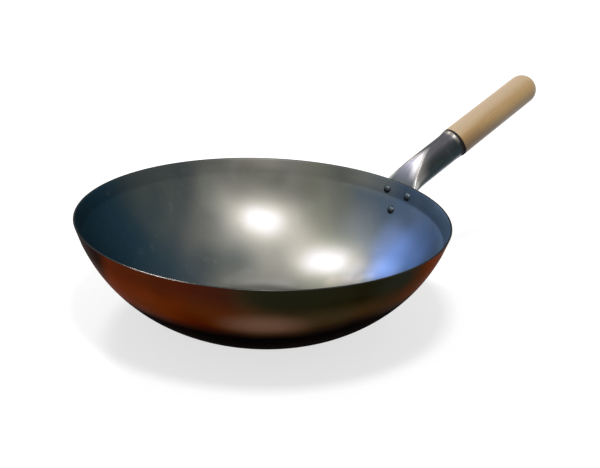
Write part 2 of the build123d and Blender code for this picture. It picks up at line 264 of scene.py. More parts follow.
class BowlSection:
    """The bowl's section: a flat base, a blend, the wall's arc and the rim band."""

    wall_steps, other_steps = 48, 8

    def __init__(self, sizes):
        self.sizes = sizes
        self.band_along = (cos(sizes.band_slope), sin(sizes.band_slope))
        self.band_foot = (
            sizes.rim_radius - sizes.band_width * self.band_along[0],
            sizes.depth - sizes.band_width * self.band_along[1],
        )
        self.blend_centre = (sizes.flat_radius, sizes.blend_radius)
        self.wall_centre = circles_crossing(
            self.blend_centre, sizes.wall_radius - sizes.blend_radius, self.band_foot, sizes.wall_radius
        )
        self.blend_end = self.wall_angle(self.blend_centre)

    def wall_angle(self, point):
        """The angle at which a point is seen from the wall arc's centre."""
        return atan2(point[1] - self.wall_centre[1], point[0] - self.wall_centre[0])

    def moved_foot(self, offset):
        """The rim band's foot, moved outwards by offset."""
        along = self.band_along
        return (self.band_foot[0] + offset * along[1], self.band_foot[1] - offset * along[0])

    def band_point(self, offset, height):
        """The point at a height on the rim band, moved outwards by offset."""
        foot = self.moved_foot(offset)
        return (foot[0] + (height - foot[1]) / tan(self.sizes.band_slope), height)

    def band_foot_at(self, offset):
        """Where the wall's arc and the rim band cross, both moved outwards by offset."""
        foot = self.moved_foot(offset)
        off_centre = (foot[0] - self.wall_centre[0], foot[1] - self.wall_centre[1])
        half = self.band_along[0] * off_centre[0] + self.band_along[1] * off_centre[1]
        rest = off_centre[0] ** 2 + off_centre[1] ** 2 - (self.sizes.wall_radius + offset) ** 2
        root = sqrt(half**2 - rest)
        climb = min(-half - root, -half + root, key=abs)
        return (foot[0] + climb * self.band_along[0], foot[1] + climb * self.band_along[1])

    def side(self, offset, top):
        """One side of the sheet in section, from the axis out and up to the height top."""
        sizes, steps = self.sizes, self.other_steps
        foot = self.band_foot_at(offset)
        return joined(
            stretch((0, -offset), (sizes.flat_radius, -offset), steps),
            arc(self.blend_centre, sizes.blend_radius + offset, -pi / 2, self.blend_end, steps),
            arc(
                self.wall_centre, sizes.wall_radius + offset,
                self.blend_end, self.wall_angle(foot), self.wall_steps,
            ),
            stretch(foot, self.band_point(offset, top), steps),
        )

    def outer_radius(self, height, offset=0):
        """The outer side's radius at a height, moved outwards by offset."""
        if height > self.band_foot_at(offset)[1]:
            return self.band_point(offset, height)[0]
        drop = height - self.wall_centre[1]
        return self.wall_centre[0] + sqrt((self.sizes.wall_radius + offset) ** 2 - drop**2)


# Modelling helpers


def start_primitive(add, **settings):
    """Deselects everything, adds a primitive and returns it as the active object."""
    if bpy.context.object and bpy.context.object.mode != "OBJECT":
        bpy.ops.object.mode_set(mode="OBJECT")
    bpy.ops.object.select_all(action="DESELECT")
    add(**settings)
    return bpy.context.object


def select_only(piece):
    """Selects one piece and makes it the active object."""
    bpy.ops.object.select_all(action="DESELECT")
    piece.select_set(True)
    bpy.context.view_layer.objects.active = piece


def finish_piece(piece, name, node, materials, smooth_degrees=35, material_of=None):
    """Names a piece, gives it its looks, and hands it to the frame in place of its CAD node."""
    piece.name = name
    piece.data.name = name
    piece.data.materials.clear()
    for material in materials:
        piece.data.materials.append(material)
    if material_of:
        for face in piece.data.polygons:
            face.material_index = material_of(face)
    select_only(piece)
    bpy.ops.object.shade_smooth_by_angle(angle=radians(smooth_degrees))
    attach(piece, "root")
    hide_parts(node)


def turn_on_lathe(section, steps):
    """A turned piece about Z: one vertex is drawn out along the section, and the line is spun round."""
    piece = start_primitive(bpy.ops.mesh.primitive_plane_add, size=0.01)
    bpy.ops.object.mode_set(mode="EDIT")
    bpy.ops.mesh.select_all(action="SELECT")
    bpy.ops.mesh.merge(type="CENTER")
    bpy.ops.transform.translate(value=(section[0][0], 0, section[0][1]))
    for (radius, height), (next_radius, next_height) in zip(section, section[1:]):
        bpy.ops.mesh.extrude_region_move(
            TRANSFORM_OT_translate={"value": (next_radius - radius, 0, next_height - height)}
        )
    bpy.ops.mesh.select_all(action="SELECT")
    bpy.ops.mesh.spin(steps=steps, angle=2 * pi, center=(0, 0, 0), axis=(0, 0, 1))
    bpy.ops.mesh.select_all(action="SELECT")
    bpy.ops.mesh.remove_doubles(threshold=MERGE)
    bpy.ops.mesh.normals_make_consistent(inside=False)
    bpy.ops.object.mode_set(mode="OBJECT")
    return piece


def put_in_place(piece, place):
    """Moves a piece there and applies it, so that its object stays at the origin."""
    piece.matrix_world = place
    select_only(piece)
    bpy.ops.object.transform_apply(location=True, rotation=True, scale=True)


# Materials


class Shading:
    """A new material or node group, with short calls that add its nodes and join them."""

    def __init__(self, tree):
        self.tree = tree

    def feed(self, node, inputs):
        """Joins each of a node's named inputs to a socket, or sets it to a value."""
        for name, value in inputs.items():
            socket = node.inputs[name]
            if isinstance(value, bpy.types.NodeSocket):
                self.tree.links.new(value, socket)
                continue
            if hasattr(value, "__len__"):
                value = tuple(value)
                if socket.type == "RGBA" and len(value) == 3:
                    value = (*value, 1.0)
            socket.default_value = value

    def node(self, kind, inputs, **settings):
        made = self.tree.nodes.new(kind)
        for name, value in settings.items():
            setattr(made, name, value)
        self.feed(made, inputs)
        return made

    def position(self):
        return self.node("ShaderNodeTexCoord", {}).outputs["Object"]

    def math(self, operation, *values):
        return self.node("ShaderNodeMath", dict(enumerate(values)), operation=operation).outputs[0]

    def less(self, value, taken):
        return self.math("SUBTRACT", value, taken)

    def plus(self, *values):
        return reduce(partial(self.math, "ADD"), values)

    def most(self, *values):
        return reduce(partial(self.math, "MAXIMUM"), values)

    def times(self, *values):
        """The product of values, where a tuple stands for what range makes of it."""
        values = [self.range(*value) if isinstance(value, tuple) else value for value in values]
        return reduce(partial(self.math, "MULTIPLY"), values)

    def vector(self, operation, *values, scale=None):
        made = self.node("ShaderNodeVectorMath", dict(enumerate(values)), operation=operation)
        if scale is not None:
            self.feed(made, {"Scale": scale})
        return made.outputs["Value" if operation in ("LENGTH", "DOT_PRODUCT") else "Vector"]

    def height(self, position):
        return self.vector("DOT_PRODUCT", position, (0, 0, 1))

    def towards(self, position, bearing):
        """How far a point lies towards a bearing, in metres from the bowl's axis."""
        return self.vector("DOT_PRODUCT", position, (cos(bearing), sin(bearing), 0))

    def beside(self, position, start, end):
        """How far, in metres, a point lies from the straight line between two places in millimetres."""
        start, end = Vector([c / 1000 for c in start]), Vector([c / 1000 for c in end])
        line = end - start
        off = self.vector("SUBTRACT", position, start)
        part = self.vector("DOT_PRODUCT", off, line / line.length_squared)
        part = self.math("MINIMUM", self.most(part, 0.0), 1.0)
        return self.vector("LENGTH", self.vector("SUBTRACT", off, self.vector("SCALE", line, scale=part)))

    def range(self, value, low, high, to_low=0.0, to_high=1.0, smooth=True):
        """A value's way from low to high, as a value from to_low to to_high."""
        limits = {"From Min": low, "From Max": high, "To Min": to_low, "To Max": to_high}
        kind = "SMOOTHSTEP" if smooth else "LINEAR"
        made = self.node("ShaderNodeMapRange", {"Value": value, **limits}, interpolation_type=kind)
        return made.outputs["Result"]

    def noise(self, vector, scale, detail=2.0, roughness=0.5, distortion=0.0, output="Fac"):
        look = {"Scale": scale, "Detail": detail, "Roughness": roughness, "Distortion": distortion}
        return self.node("ShaderNodeTexNoise", {"Vector": vector, **look}).outputs[output]

    def mix(self, factor, a, b, blend="MIX"):
        made = self.node("ShaderNodeMix", {0: factor, 6: a, 7: b}, data_type="RGBA", blend_type=blend)
        return made.outputs[2]

    def lay(self, base, colour, *masks):
        """A colour laid over base, as thickly as the product of the masks says."""
        return self.mix(self.times(*masks), base, colour)

    def shade(self, base, colour, mask):
        """Base multiplied by a colour, as far as the mask says."""
        return self.mix(1.0, base, self.mix(mask, WHITE, colour), "MULTIPLY")

    def ramp(self, value, stops):
        """A colour ramp from stops of place and colour."""
        made = self.node("ShaderNodeValToRGB", {"Fac": value})
        made.color_ramp.interpolation = "EASE"
        elements = made.color_ramp.elements
        for place, _ in stops[1:-1]:
            elements.new(place)
        for element, (place, colour) in zip(elements, stops):
            element.position = place
            element.color = (*colour, 1.0)
        return made.outputs["Color"]

    def bump(self, height, strength, distance):
        look = {"Strength": strength, "Distance": distance, "Height": height}
        return self.node("ShaderNodeBump", look).outputs[0]


def blend(first, share, second=(0, 0, 0), second_share=0.0):
    """The sum of two colours, each times its share."""
    return [share * a + second_share * b for a, b in zip(first, second)]


def new_material(name, metallic, roughness):
    """A new material with a Principled shader, and the calls that build its nodes."""
    material = bpy.data.materials.new(name)
    material.use_nodes = True
    at = Shading(material.node_tree)
    shader = material.node_tree.nodes["Principled BSDF"]
    at.feed(shader, {"Metallic": metallic, "Roughness": roughness})
    return material, at, shader


def group_outputs(at, name, position, width, paint):
    """What a shader node group puts out for a position and a width: paint's values, by name."""
    tree = bpy.data.node_groups.get(name)
    if tree is None:
        tree = bpy.data.node_groups.new(name, "ShaderNodeTree")
        tree.interface.new_socket("Position", in_out="INPUT", socket_type="NodeSocketVector")
        tree.interface.new_socket("Width", in_out="INPUT", socket_type="NodeSocketFloat")
        within, start = Shading(tree), tree.nodes.new("NodeGroupInput").outputs
        painted = paint(within, start["Position"], start["Width"])
        for label in painted:
            tree.interface.new_socket(label, in_out="OUTPUT", socket_type="NodeSocketFloat")
        within.node("NodeGroupOutput", painted)
    return at.node("ShaderNodeGroup", {"Position": position, "Width": width}, node_tree=tree).outputs


def paint_rings(at, position, width):
    """Fine turning lines round the bowl's axis, and a soft cloud, as spinning leaves them."""
    radius = at.vector("LENGTH", at.vector("MULTIPLY", position, (1, 1, 0)))
    along = at.plus(radius, at.height(position), at.times(at.noise(position, 14.0), 0.0006))
    look = {"W": at.math("DIVIDE", along, width), "Scale": 1.0, "Detail": 3.0, "Roughness": 0.7}
    lines = at.node("ShaderNodeTexNoise", look, noise_dimensions="1D")
    return {"Lines": lines.outputs["Fac"], "Cloud": at.noise(position, 9.0, 4.0, 0.55)}


def paint_scuffs(at, position, width):
    """Small scuffs of handling, as a mask, and the grain between them."""
    scaled = at.vector("DIVIDE", position, width)
    scuffs = at.range(at.noise(scaled, 1.0, 5.0, 0.65, 0.4), 0.56, 0.72)
    return {"Scuffs": scuffs, "Grain": at.noise(scaled, 7.0, 2.0, 0.6)}


def bowl_marks(at, line_width, scuff_size, sway):
    """What both sides of the bowl are painted by: the position, the marks, and the way across the bowl.

    The way across is a distance towards the painted dark side, and the same as a share from 0 to 1 at that
    side.
    """
    position = at.position()
    rings = group_outputs(at, "Spun rings", position, line_width, paint_rings)
    scuffs = group_outputs(at, "Scuffs", position, scuff_size, paint_scuffs)
    wander = at.math("MULTIPLY_ADD", rings["Cloud"], 2 * sway, -sway)
    side = at.plus(at.towards(position, DARK_REFLECTION_SIDE), wander)
    rim = bpy.context.scene.wok_bowl.rim_radius
    return position, rings, scuffs, wander, side, at.range(side, -rim, rim, smooth=False)


def inside_steel():
    """Bare satin steel inside the bowl, with fine turning lines, painted reflections to either side, and
    painted highlights.
    """
    colours = bpy.context.scene.wok_colours
    material, at, shader = new_material("Bowl inside steel", 1.0, 0.36)
    position, rings, scuffs, wander, side, share = bowl_marks(at, 0.0007, 0.012, 0.018)
    drift = at.times(wander, 0.4)

    def patch(start, end, reach, core):
        """A soft patch round a line, from 1 within the core to 0 at the reach, all in millimetres."""
        return at.range(at.plus(at.beside(position, start, end), drift), reach / 1000, core / 1000)

    warm, dark, blue = colours.inside_warm, colours.inside_dark_reflection, colours.inside_blue_reflection
    # Painted reflections across the bowl: blue at one side, the bare steel in the middle, dark blue-green at
    # the other.
    base = at.ramp(share, [
        (0.01, (0.240, 0.375, 0.590)), (0.05, (0.112, 0.168, 0.270)), (0.10, (0.080, 0.122, 0.195)),
        (0.15, (0.074, 0.104, 0.145)), (0.20, (0.084, 0.107, 0.130)), (0.26, (0.114, 0.120, 0.106)),
        (0.33, (0.143, 0.145, 0.117)), (0.43, blend(warm, 0.92)), (0.50, warm),
        (0.61, blend(warm, 0.80, dark, 0.1)), (0.70, blend(warm, 0.52, dark, 0.3)),
        (0.79, blend(warm, 0.24, dark, 0.7)), (0.89, blend(warm, 0.05, dark, 1.0)), (0.98, blend(dark, 1.7)),
    ])
    far_side = at.towards(position, FAR_SIDE)
    # Painted reflections high on the far wall towards the dark side: grey-green, and dark blue below it.
    base = at.lay(base, (0.072, 0.086, 0.076), (far_side, 0.055, 0.115), (share, 0.74, 0.84), 0.8)
    far_dark_reflection = (far_side, 0.115, 0.055), (share, 0.60, 0.72), (far_side, -0.09, 0.01)
    base = at.lay(base, (0.010, 0.040, 0.066), *far_dark_reflection, 0.55)
    # Painted light, each a soft patch round a line: the two lamp highlights with warm halos and white cores,
    # a painted shade beside the first, pale painted glints on the base and walls, and a painted blue
    # reflection on the blue side.
    tints = (  # start and end of a line, reach, strength and colour
        ((86, 112, 44), (74, 131, 55), 45, 0.54, (0.27, 0.252, 0.222)),
        ((104, 38, 19), (120, 6, 27), 41, 0.54, (0.27, 0.252, 0.222)),
        ((106, 78, 32), (99, 64, 27), 32, 0.50, (0.27, 0.252, 0.218)),
        ((115, 100, 56), (106, 106, 52), 26, 0.30, (0.27, 0.252, 0.218)),
        ((90, 108, 43), (80, 119, 47), 26, 0.80, (0.27, 0.266, 0.274)),
        ((102, 42, 20), (113, 22, 22), 26, 0.80, (0.27, 0.266, 0.274)),
        ((82, 142, 74), (126, 101, 73), 31, 0.50, (0.080, 0.079, 0.066)),
        ((102, 142, 99), (90, 150, 99), 30, 0.35, (0.27, 0.25, 0.215)),
        ((30, 60, 2), (54, 40, 2), 20, 0.55, (0.24, 0.24, 0.22)),
        ((14, 76, 4), (40, 78, 8), 11, 0.20, (0.25, 0.26, 0.26)),
        ((150, 30, 55), (147, 10, 47), 32, 0.50, (0.160, 0.175, 0.190)),
        ((145, -65, 64), (137, -82, 65), 42, 0.80, (0.112, 0.195, 0.420)),
        ((143, -41, 51), (130, -39, 38), 33, 0.95, (1.05 * blue[0], blue[1], 0.95 * blue[2])),
        ((126, -30, 33), (122, -29, 30), 20, 0.50, (0.30, 0.37, 0.58)),
        ((132, -48, 44), (130, -74, 52), 32, 0.72, (0.150, 0.275, 0.610)),
        ((124, -43, 34), (122, -52, 37), 22, 0.62, (0.260, 0.395, 0.840)),
        ((141, -18, 45), (150, -17, 57), 26, 0.42, (0.210, 0.290, 0.540)),
        ((113, -9, 22), (118, -10, 25), 22, 0.32, (0.350, 0.340, 0.370)),
    )
    for start, end, reach, strength, tint in tints:
        base = at.lay(base, tint, patch(start, end, reach, 2), strength)
    # Painted light and shade: patches of the steel made darker or lighter by a factor.
    shades = (  # start and end of a line, reach and factor
        ((86, 149, 93), (112, 128, 83), 20, (0.72, 0.74, 0.72)),
        ((14, 104, 17), (36, 96, 15), 34, (0.66, 0.72, 0.76)),
        ((47, 162, 85), (44, 153, 65), 26, (1.36, 1.36, 1.30)),
        ((-18, 164, 77), (-24, 155, 63), 24, (0.76, 0.81, 0.90)),
        ((94, 4, 9), (102, -10, 13.5), 12, (1.35, 1.26, 1.27)),
        ((107.5, -26, 20), (110, -31, 21.5), 15, (1.85, 1.68, 1.60)),
    )
    for start, end, reach, factor in shades:
        base = at.shade(base, factor, patch(start, end, reach, 3))
    height = at.height(position)
    # Painted shade: the band under the rim darker towards either side.
    either_side = at.most(at.range(side, 0.03, 0.16, 0.0, 0.22), at.range(side, -0.03, -0.165, 0.0, 0.50))
    base = at.lay(base, (0.010, 0.016, 0.026), (height, 0.0875, 0.0905), either_side)
    # Painted light: the rim band made lighter beside the rivets.
    rivet_side_light = at.times(patch((170, 39, 100), (172, 24, 99), 36, 2), (height, 0.082, 0.096))
    base = at.shade(base, (2.20, 1.80, 1.32), rivet_side_light)
    base = at.mix(1.0, base, at.range(rings["Lines"], 0.3, 0.7, 0.92, 1.07, smooth=False), "MULTIPLY")
    at.feed(shader, {
        "Specular Tint": (0.5, 0.5, 0.5),
        "Base Color": at.lay(base, (0.35, 0.35, 0.34), scuffs["Scuffs"], 0.04),
        "Roughness": at.plus(at.times(rings["Lines"], 0.10), at.times(rings["Cloud"], 0.10), 0.34),
        "Normal": at.bump(rings["Lines"], 0.12, 0.0002),
    })
    return material


def outside_steel():
    """Steel outside the bowl, with painted reflections on it: red-brown sides, a dark olive front, and a
    black base that is painted shade.
    """
    colours = bpy.context.scene.wok_colours
    material, at, shader = new_material("Bowl outside steel", 1.0, 0.3)
    position, rings, scuffs, wander, side, share = bowl_marks(at, 0.0011, 0.016, 0.03)
    red, olive = colours.outside_red_reflection, colours.outside_olive_reflection
    # Painted reflections round the outside: red-brown at the sides, olive and brown towards the front.
    base = at.ramp(share, [
        (0.02, (0.225, 0.044, 0.010)), (0.08, (0.235, 0.042, 0.004)), (0.13, (0.152, 0.036, 0.004)),
        (0.20, (0.063, 0.039, 0.018)), (0.28, (0.046, 0.038, 0.023)), (0.35, (0.044, 0.034, 0.019)),
        (0.47, (0.050, 0.028, 0.013)), (0.62, blend(red, 0.315, olive, 0.75)),
        (0.72, blend(red, 0.44, olive, 0.6)), (0.82, red), (0.92, (0.320, 0.062, 0.012)),
    ])
    level = at.plus(at.height(position), at.times(wander, 0.25))
    # Painted shade: the red side darker and bluer up towards the rim.
    faded = at.mix(at.range(share, 0.66, 0.78), (0.56, 0.42, 0.6), (0.58, 0.68, 1.0))
    faded = at.shade(base, faded, at.range(level, 0.070, 0.098))
    base = at.lay(base, faded, (share, 0.50, 0.60))
    # Painted reflection of the shade under the bowl: dark olive on the upper front.
    lower_edge = at.plus(at.range(side, -0.03, 0.03, 0.077, 0.087), at.range(side, -0.08, -0.13, 0.0, 0.006))
    front = (at.less(level, lower_edge), -0.012, 0.012), (side, 0.050, -0.005), (side, -0.145, -0.120)
    base = at.lay(base, at.mix(at.range(side, -0.085, -0.128), olive, (0.032, 0.038, 0.027)), *front)
    # Painted reflection: a dark stripe on the upper wall at the dark side.
    radius = at.vector("LENGTH", at.vector("MULTIPLY", position, (1, 1, 0)))
    turned = at.math("DIVIDE", at.towards(position, DARK_REFLECTION_SIDE), radius)
    turned = at.plus(turned, at.times(at.less(level, 0.102), 1.5), at.times(wander, 1.2))
    behind = at.plus(at.towards(position, FAR_SIDE), wander)
    dark_reflection_streak = at.times((turned, 0.72, 0.80), (level, 0.048, 0.088), (behind, 0.110, 0.005))
    base = at.lay(base, (0.011, 0.009, 0.0075), dark_reflection_streak, 0.93)
    # Painted reflections: a pale pinkish patch low on the front, and a red-brown glow on the lower wall
    # beside it.
    patch = at.vector("MULTIPLY", at.vector("SUBTRACT", position, (-0.091, -0.124, 0.061)), (0.42, 0.42, 1.0))
    base = at.lay(base, (0.175, 0.098, 0.066), (at.vector("LENGTH", patch), 0.022, 0.002), 0.85)
    glow = at.vector("LENGTH", at.vector("SUBTRACT", position, (-0.148, -0.042, 0.056)))
    base = at.lay(base, (0.20, 0.054, 0.018), (glow, 0.045, 0.010, 0.0, 0.5))
    # Painted shade: the underside black, where the shade under the bowl is reflected.
    black = at.range(at.less(level, at.range(side, -0.03, -0.13, 0.0, 0.013)), 0.060, 0.041)
    base = at.lay(base, colours.underside_shade_black, black)
    base = at.mix(1.0, base, at.range(rings["Lines"], 0.3, 0.7, 0.9, 1.08, smooth=False), "MULTIPLY")
    # The steel is made matte where the painted shade and the dark stripe are, and on the sides.
    scaled = at.most(at.range(side, -0.075, -0.125), at.range(side, 0.060, 0.115))
    matte_share = at.most(at.times(black, 0.9), at.times(dark_reflection_streak, 0.8), at.times(scaled, 0.78))
    rough = at.plus(at.times(rings["Lines"], 0.08), at.times(rings["Cloud"], 0.12), at.times(black, 0.12))
    at.feed(shader, {
        "Specular Tint": (0.46, 0.395, 0.385),
        "Specular IOR Level": 0.0,
        "Metallic": at.less(1.0, matte_share),
        "Base Color": at.lay(base, (0.08, 0.05, 0.035), scuffs["Scuffs"], 0.06),
        "Roughness": at.plus(rough, 0.20),
        "Normal": at.bump(rings["Lines"], 0.10, 0.0002),
    })
    return material


def rim_steel():
    """The cut and ground edge of the rim, dark, with a painted pale highlight along one stretch."""
    material, at, shader = new_material("Bowl rim edge", 1.0, 0.3)
    position = at.position()
    scuffs = group_outputs(at, "Scuffs", position, 0.006, paint_scuffs)
    base = at.mix(scuffs["Grain"], (0.014, 0.016, 0.018), (0.045, 0.044, 0.042))
    # Painted highlight: a pale stretch of the rim on the near side.
    rim_highlight = at.range(at.beside(position, (-166, -60, 109), (-157, -80, 109)), 0.030, 0.006)
    base = at.lay(base, (0.20, 0.18, 0.165), rim_highlight, (scuffs["Grain"], 0.3, 0.6, 0.45, 0.95))
    at.feed(shader, {
        "Specular Tint": (0.5, 0.5, 0.5),
        "Base Color": at.lay(base, (0.03, 0.03, 0.03), scuffs["Scuffs"], 0.4),
        "Roughness": at.range(scuffs["Grain"], 0.2, 0.8, 0.22, 0.42),
    })
    return material


def handle_point(at):
    """A point in the handle's frame: X to the left, Y up and Z along the handle."""
    place = handle_matrix()
    inputs = {"Vector": at.position(), "Location": place.translation, "Rotation": place.to_euler()}
    return at.node("ShaderNodeMapping", inputs, vector_type="TEXTURE").outputs["Vector"]


def socket_steel():
    """Grey sheet steel of the socket, shinier where it was pressed, with painted light and shade on it."""
    scene = bpy.context.scene
    colours, handle, sizes = scene.wok_colours, scene.wok_handle, scene.wok_socket
    material, at, shader = new_material("Socket steel", 1.0, 0.3)
    point = handle_point(at)
    scuffs = group_outputs(at, "Scuffs", point, 0.005, paint_scuffs)
    left, up, along = at.node("ShaderNodeSeparateXYZ", {0: point}).outputs
    cloud = at.noise(point, 55.0, 3.0)
    grey = colours.socket_grey
    # Painted light and shade round the tube: pale on top, dark flanks, and a pale reflection along the
    # underside.
    tube = at.ramp(at.range(at.plus(up, at.times(cloud, 0.003)), -0.014, 0.0168, smooth=False), [
        (0.04, (0.12, 0.13, 0.145)), (0.12, (0.38, 0.40, 0.46)), (0.22, (0.25, 0.27, 0.31)),
        (0.36, (0.022, 0.034, 0.040)), (0.52, (0.016, 0.026, 0.029)), (0.68, blend(grey, 0.8)),
        (0.80, grey), (0.90, (0.050, 0.051, 0.057)), (0.98, (0.092, 0.090, 0.101)),
    ])
    crease = at.less(0.0455, at.times(at.math("ABSOLUTE", left), 2.3))
    gap = at.less(along, at.plus(crease, at.times(cloud, 0.002)))
    pressed = at.times((gap, 0.003, -0.003), (up, -0.004, 0.0))
    # Painted shade on the pressed top: darker by the bowl, and darker on its far part.
    facet = at.lay(colours.pressed_pale_sheen, (0.115, 0.128, 0.145), (along, 0.012, 0.0))
    facet = at.lay(facet, (0.075, 0.074, 0.085), (along, 0.020, 0.032), (left, -0.003, 0.005))
    # Painted highlight along the near ridge of the pressed top.
    shine = (gap, -0.036, -0.016), (along, 0.002, 0.016), (left, 0.005, -0.004)
    facet = at.lay(facet, (0.48, 0.47, 0.48), *shine, 0.9)
    # Painted reflection along the crests of the ridges.
    facet = at.lay(facet, (0.14, 0.125, 0.112), (gap, -0.013, -0.002), pressed, 0.85)
    tube = at.lay(tube, (0.075, 0.082, 0.090), (along, 0.012, -0.002))
    # Painted sheen on the tube beside the ridges.
    ridge_sheen = (gap, 0.020, -0.001), (along, 0.052, 0.008), (up, -0.006, 0.002)
    tube = at.lay(tube, (0.235, 0.225, 0.210), *ridge_sheen, 0.9)
    base = at.mix(pressed, tube, facet)
    # Painted highlight at the foot of the ridges, by the bowl.
    foot = (along, 0.012, 0.003), (at.math("ABSOLUTE", gap), 0.012, 0.003), (up, -0.006, -0.001)
    base = at.lay(base, (0.50, 0.50, 0.48), *foot, 0.8)
    # Painted highlight on the lip of the mouth.
    base = at.lay(base, (0.30, 0.27, 0.235), (along, 0.0722, 0.0752), (up, 0.005, 0.014), 0.7)
    # Painted shadow: a dark line just inside the slanted mouth, by the gap at the grip.
    slant = tan(sizes.mouth_slant)
    from_mouth = at.plus(along, at.math("MULTIPLY_ADD", up, -slant, handle.mouth_radius * slant))
    from_mouth = at.less(from_mouth, handle.socket_length - sizes.mouth_setback)
    base = at.lay(base, (0.012, 0.011, 0.009), (from_mouth, -0.0014, -0.0004), (up, 0.012, 0.002), 0.9)
    base = at.lay(base, (0.05, 0.055, 0.06), (cloud, 0.35, 0.7, 0.0, 0.18))
    drawn = at.noise(at.vector("MULTIPLY", point, (1.0, 1.0, 0.05)), 900.0)
    at.feed(shader, {
        "Specular Tint": (0.6, 0.6, 0.6),
        "Base Color": at.lay(base, (0.3, 0.3, 0.3), scuffs["Scuffs"], 0.06),
        "Roughness": at.plus(at.range(scuffs["Grain"], 0.2, 0.8, 0.24, 0.36), at.times(pressed, 0.14)),
        "Normal": at.bump(drawn, 0.08, 0.0002),
    })
    return material


def rivet_steel(name):
    """Dull rivet and nail steel, with hammer marks."""
    grey = bpy.context.scene.wok_colours.rivet_grey
    material, at, shader = new_material(name, 1.0, 0.35)
    position = at.position()
    scuffs = group_outputs(at, "Scuffs", position, 0.002, paint_scuffs)
    base = at.mix(scuffs["Grain"], blend(grey, 0.6), grey)
    at.feed(shader, {
        "Base Color": at.lay(base, (0.3, 0.3, 0.3), scuffs["Scuffs"], 0.3),
        "Roughness": at.range(scuffs["Grain"], 0.2, 0.8, 0.28, 0.48),
        "Normal": at.bump(at.noise(position, 420.0, 1.0), 0.35, 0.0004),
    })
    return material


def grip_wood():
    """Pale turned wood with long straight grain, fine pores and a thin clear finish, with painted light and
    shade on it.
    """
    colours = bpy.context.scene.wok_colours
    material, at, shader = new_material("Grip wood", 0.0, 0.42)
    point = handle_point(at)
    bent = at.vector("ADD", point, at.vector("SCALE", at.noise(point, 11.0, output="Color"), scale=0.012))
    broad = at.noise(at.vector("MULTIPLY", bent, (1.0, 0.35, 0.035)), 95.0, 3.0, 0.55, 0.6)
    lines = at.noise(at.vector("MULTIPLY", bent, (1.0, 0.6, 0.03)), 620.0, 3.0, 0.6)
    pores = at.noise(at.vector("MULTIPLY", point, (1.0, 1.0, 0.06)), 1900.0, 1.0)
    grain = colours.wood_dark
    base = at.lay(colours.wood_pale, grain, (broad, 0.38, 0.68, 0.0, 0.55))
    base = at.lay(base, grain, (lines, 0.5, 0.72, 0.0, 0.32))
    pore = at.range(pores, 0.64, 0.74, 0.0, 0.4)
    base = at.lay(base, blend(grain, 0.45), pore)
    fleck = at.vector("SUBTRACT", point, (0.004, 0.0155, 0.195))
    fleck = at.vector("LENGTH", at.vector("MULTIPLY", fleck, (1.0, 1.0, 0.35)))
    base = at.lay(base, blend(grain, 0.4), (fleck, 0.0016, 0.0005, 0.0, 0.6))
    _, up, along = at.node("ShaderNodeSeparateXYZ", {0: point}).outputs
    # Painted sheen: the top of the grip paler and greyer.
    base = at.lay(base, (0.40, 0.335, 0.26), (up, 0.008, 0.0165, 0.0, 0.5))
    # Painted shade: the underside darker, reaching further up near the socket.
    grip_underside_shade = at.plus(up, at.range(along, 0.15, 0.085, 0.0, -0.006))
    base = at.lay(base, (0.135, 0.070, 0.019), (grip_underside_shade, 0.007, -0.011, 0.0, 0.9))
    shaded = at.range(at.plus(along, at.range(up, 0.006, -0.012, 0.0, -0.0014)), 0.0808, 0.0796)
    at.feed(shader, {
        "Base Color": at.lay(base, (0.007, 0.005, 0.004), shaded),
        "Roughness": at.plus(at.range(broad, 0.3, 0.7, 0.36, 0.5), at.times(shaded, 0.45)),
        "Coat Weight": at.times(at.less(1.0, shaded), 0.15),
        "Coat Roughness": 0.3,
        "Normal": at.bump(at.less(at.times(lines, 0.4), pore), 0.12, 0.0003),
    })
    return material


# The pieces


class WOK_OT_bowl(bpy.types.Operator):
    """Spins the bowl from its section and gives it its inside, rim and outside steel"""

    bl_idname = "wok.bowl"
    bl_label = "Spin the bowl"

    def execute(self, context):
        sizes = context.scene.wok_bowl
        section = BowlSection(sizes)
        edge_height = sizes.depth - sizes.crown
        outer = section.side(0, edge_height)
        inner = section.side(-sizes.sheet, edge_height)
        half_width = (outer[-1][0] - inner[-1][0]) / 2
        crown_radius = rounding_radius(half_width, sizes.crown)
        middle = ((outer[-1][0] + inner[-1][0]) / 2, sizes.depth - crown_radius)
        half = asin(half_width / crown_radius)
        crown = arc(middle, crown_radius, pi / 2 - half, pi / 2 + half, 6)
        bowl = turn_on_lathe(joined(outer, crown, inner[::-1]), sizes.steps)

        def steel_of(face):
            middle, normal = face.center, face.normal
            if middle.z > edge_height:
                return 1
            facing_in = normal.x * middle.x + normal.y * middle.y < 0 or normal.z > 0.5
            return 0 if facing_in else 2

        steels = [inside_steel(), rim_steel(), outside_steel()]
        finish_piece(bowl, "spun_bowl", "wok_bowl", steels, 32, steel_of)
        return {"FINISHED"}


def line_lengths(points):
    """The distance along a line of points, at each of them."""
    lengths = [0.0]
    for (x, y), (next_x, next_y) in zip(points, points[1:]):
        lengths.append(lengths[-1] + hypot(next_x - x, next_y - y))
    return lengths


def between(before, after, share):
    """The point at a share of the way from one point to the next."""
    return before[0] + (after[0] - before[0]) * share, before[1] + (after[1] - before[1]) * share


def at_length(points, lengths, wanted):
    """The point at a distance along a line of points."""
    wanted = min(max(wanted, 0.0), lengths[-1])
    place = min(bisect_right(lengths, wanted), len(points) - 1)
    share = (wanted - lengths[place - 1]) / max(lengths[place] - lengths[place - 1], 1e-12)
    return between(points[place - 1], points[place], share)


def crossing(points, axis, value):
    """The point of a line of points where one coordinate, which only falls, reaches a value."""
    for before, after in zip(points, points[1:]):
        if after[axis] <= value:
            share = (before[axis] - value) / max(before[axis] - after[axis], 1e-12)
            return between(before, after, min(max(share, 0.0), 1.0))
    return points[-1]


